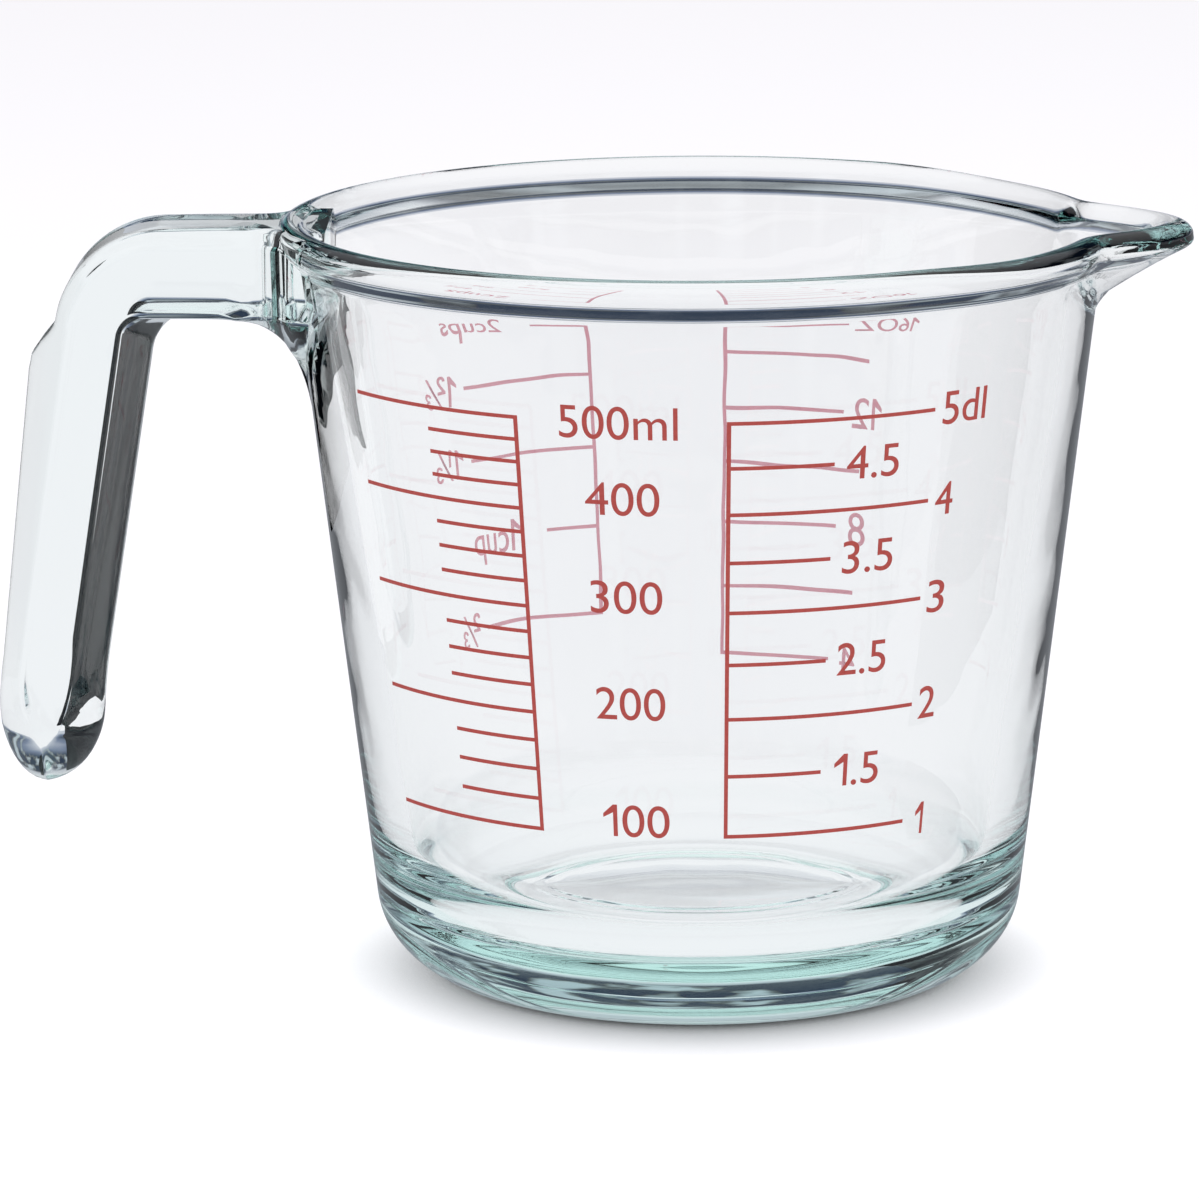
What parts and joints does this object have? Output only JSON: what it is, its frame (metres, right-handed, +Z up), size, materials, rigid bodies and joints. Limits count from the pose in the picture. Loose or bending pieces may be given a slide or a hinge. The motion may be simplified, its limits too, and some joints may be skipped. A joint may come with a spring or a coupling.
{
  "type": "measuring jug",
  "caption": "Pressed glass measuring jug with a tapered bowl, a pouring spout, a moulded open-ended handle and enamel volume scales fired onto the wall.",
  "frame": {"origin": "centre of the foot ring, on the surface that the jug stands on", "axes": "+Z up along the axis of the bowl, +X towards the spout, -X towards the handle, and the metric scales face -Y"},
  "size_m": [0.1677, 0.117, 0.107],
  "materials": {
    "clear_glass": "fire-polished pressed soda-lime glass with a faint green tint",
    "red_enamel": "satin ceramic enamel fired onto the glass"
  },
  "bodies": {
    "root": {"glass_jug": "clear_glass", "millilitre_scale": "red_enamel", "decilitre_scale": "red_enamel", "cup_scale": "red_enamel", "ounce_scale": "red_enamel"}
  },
  "joints": []
}
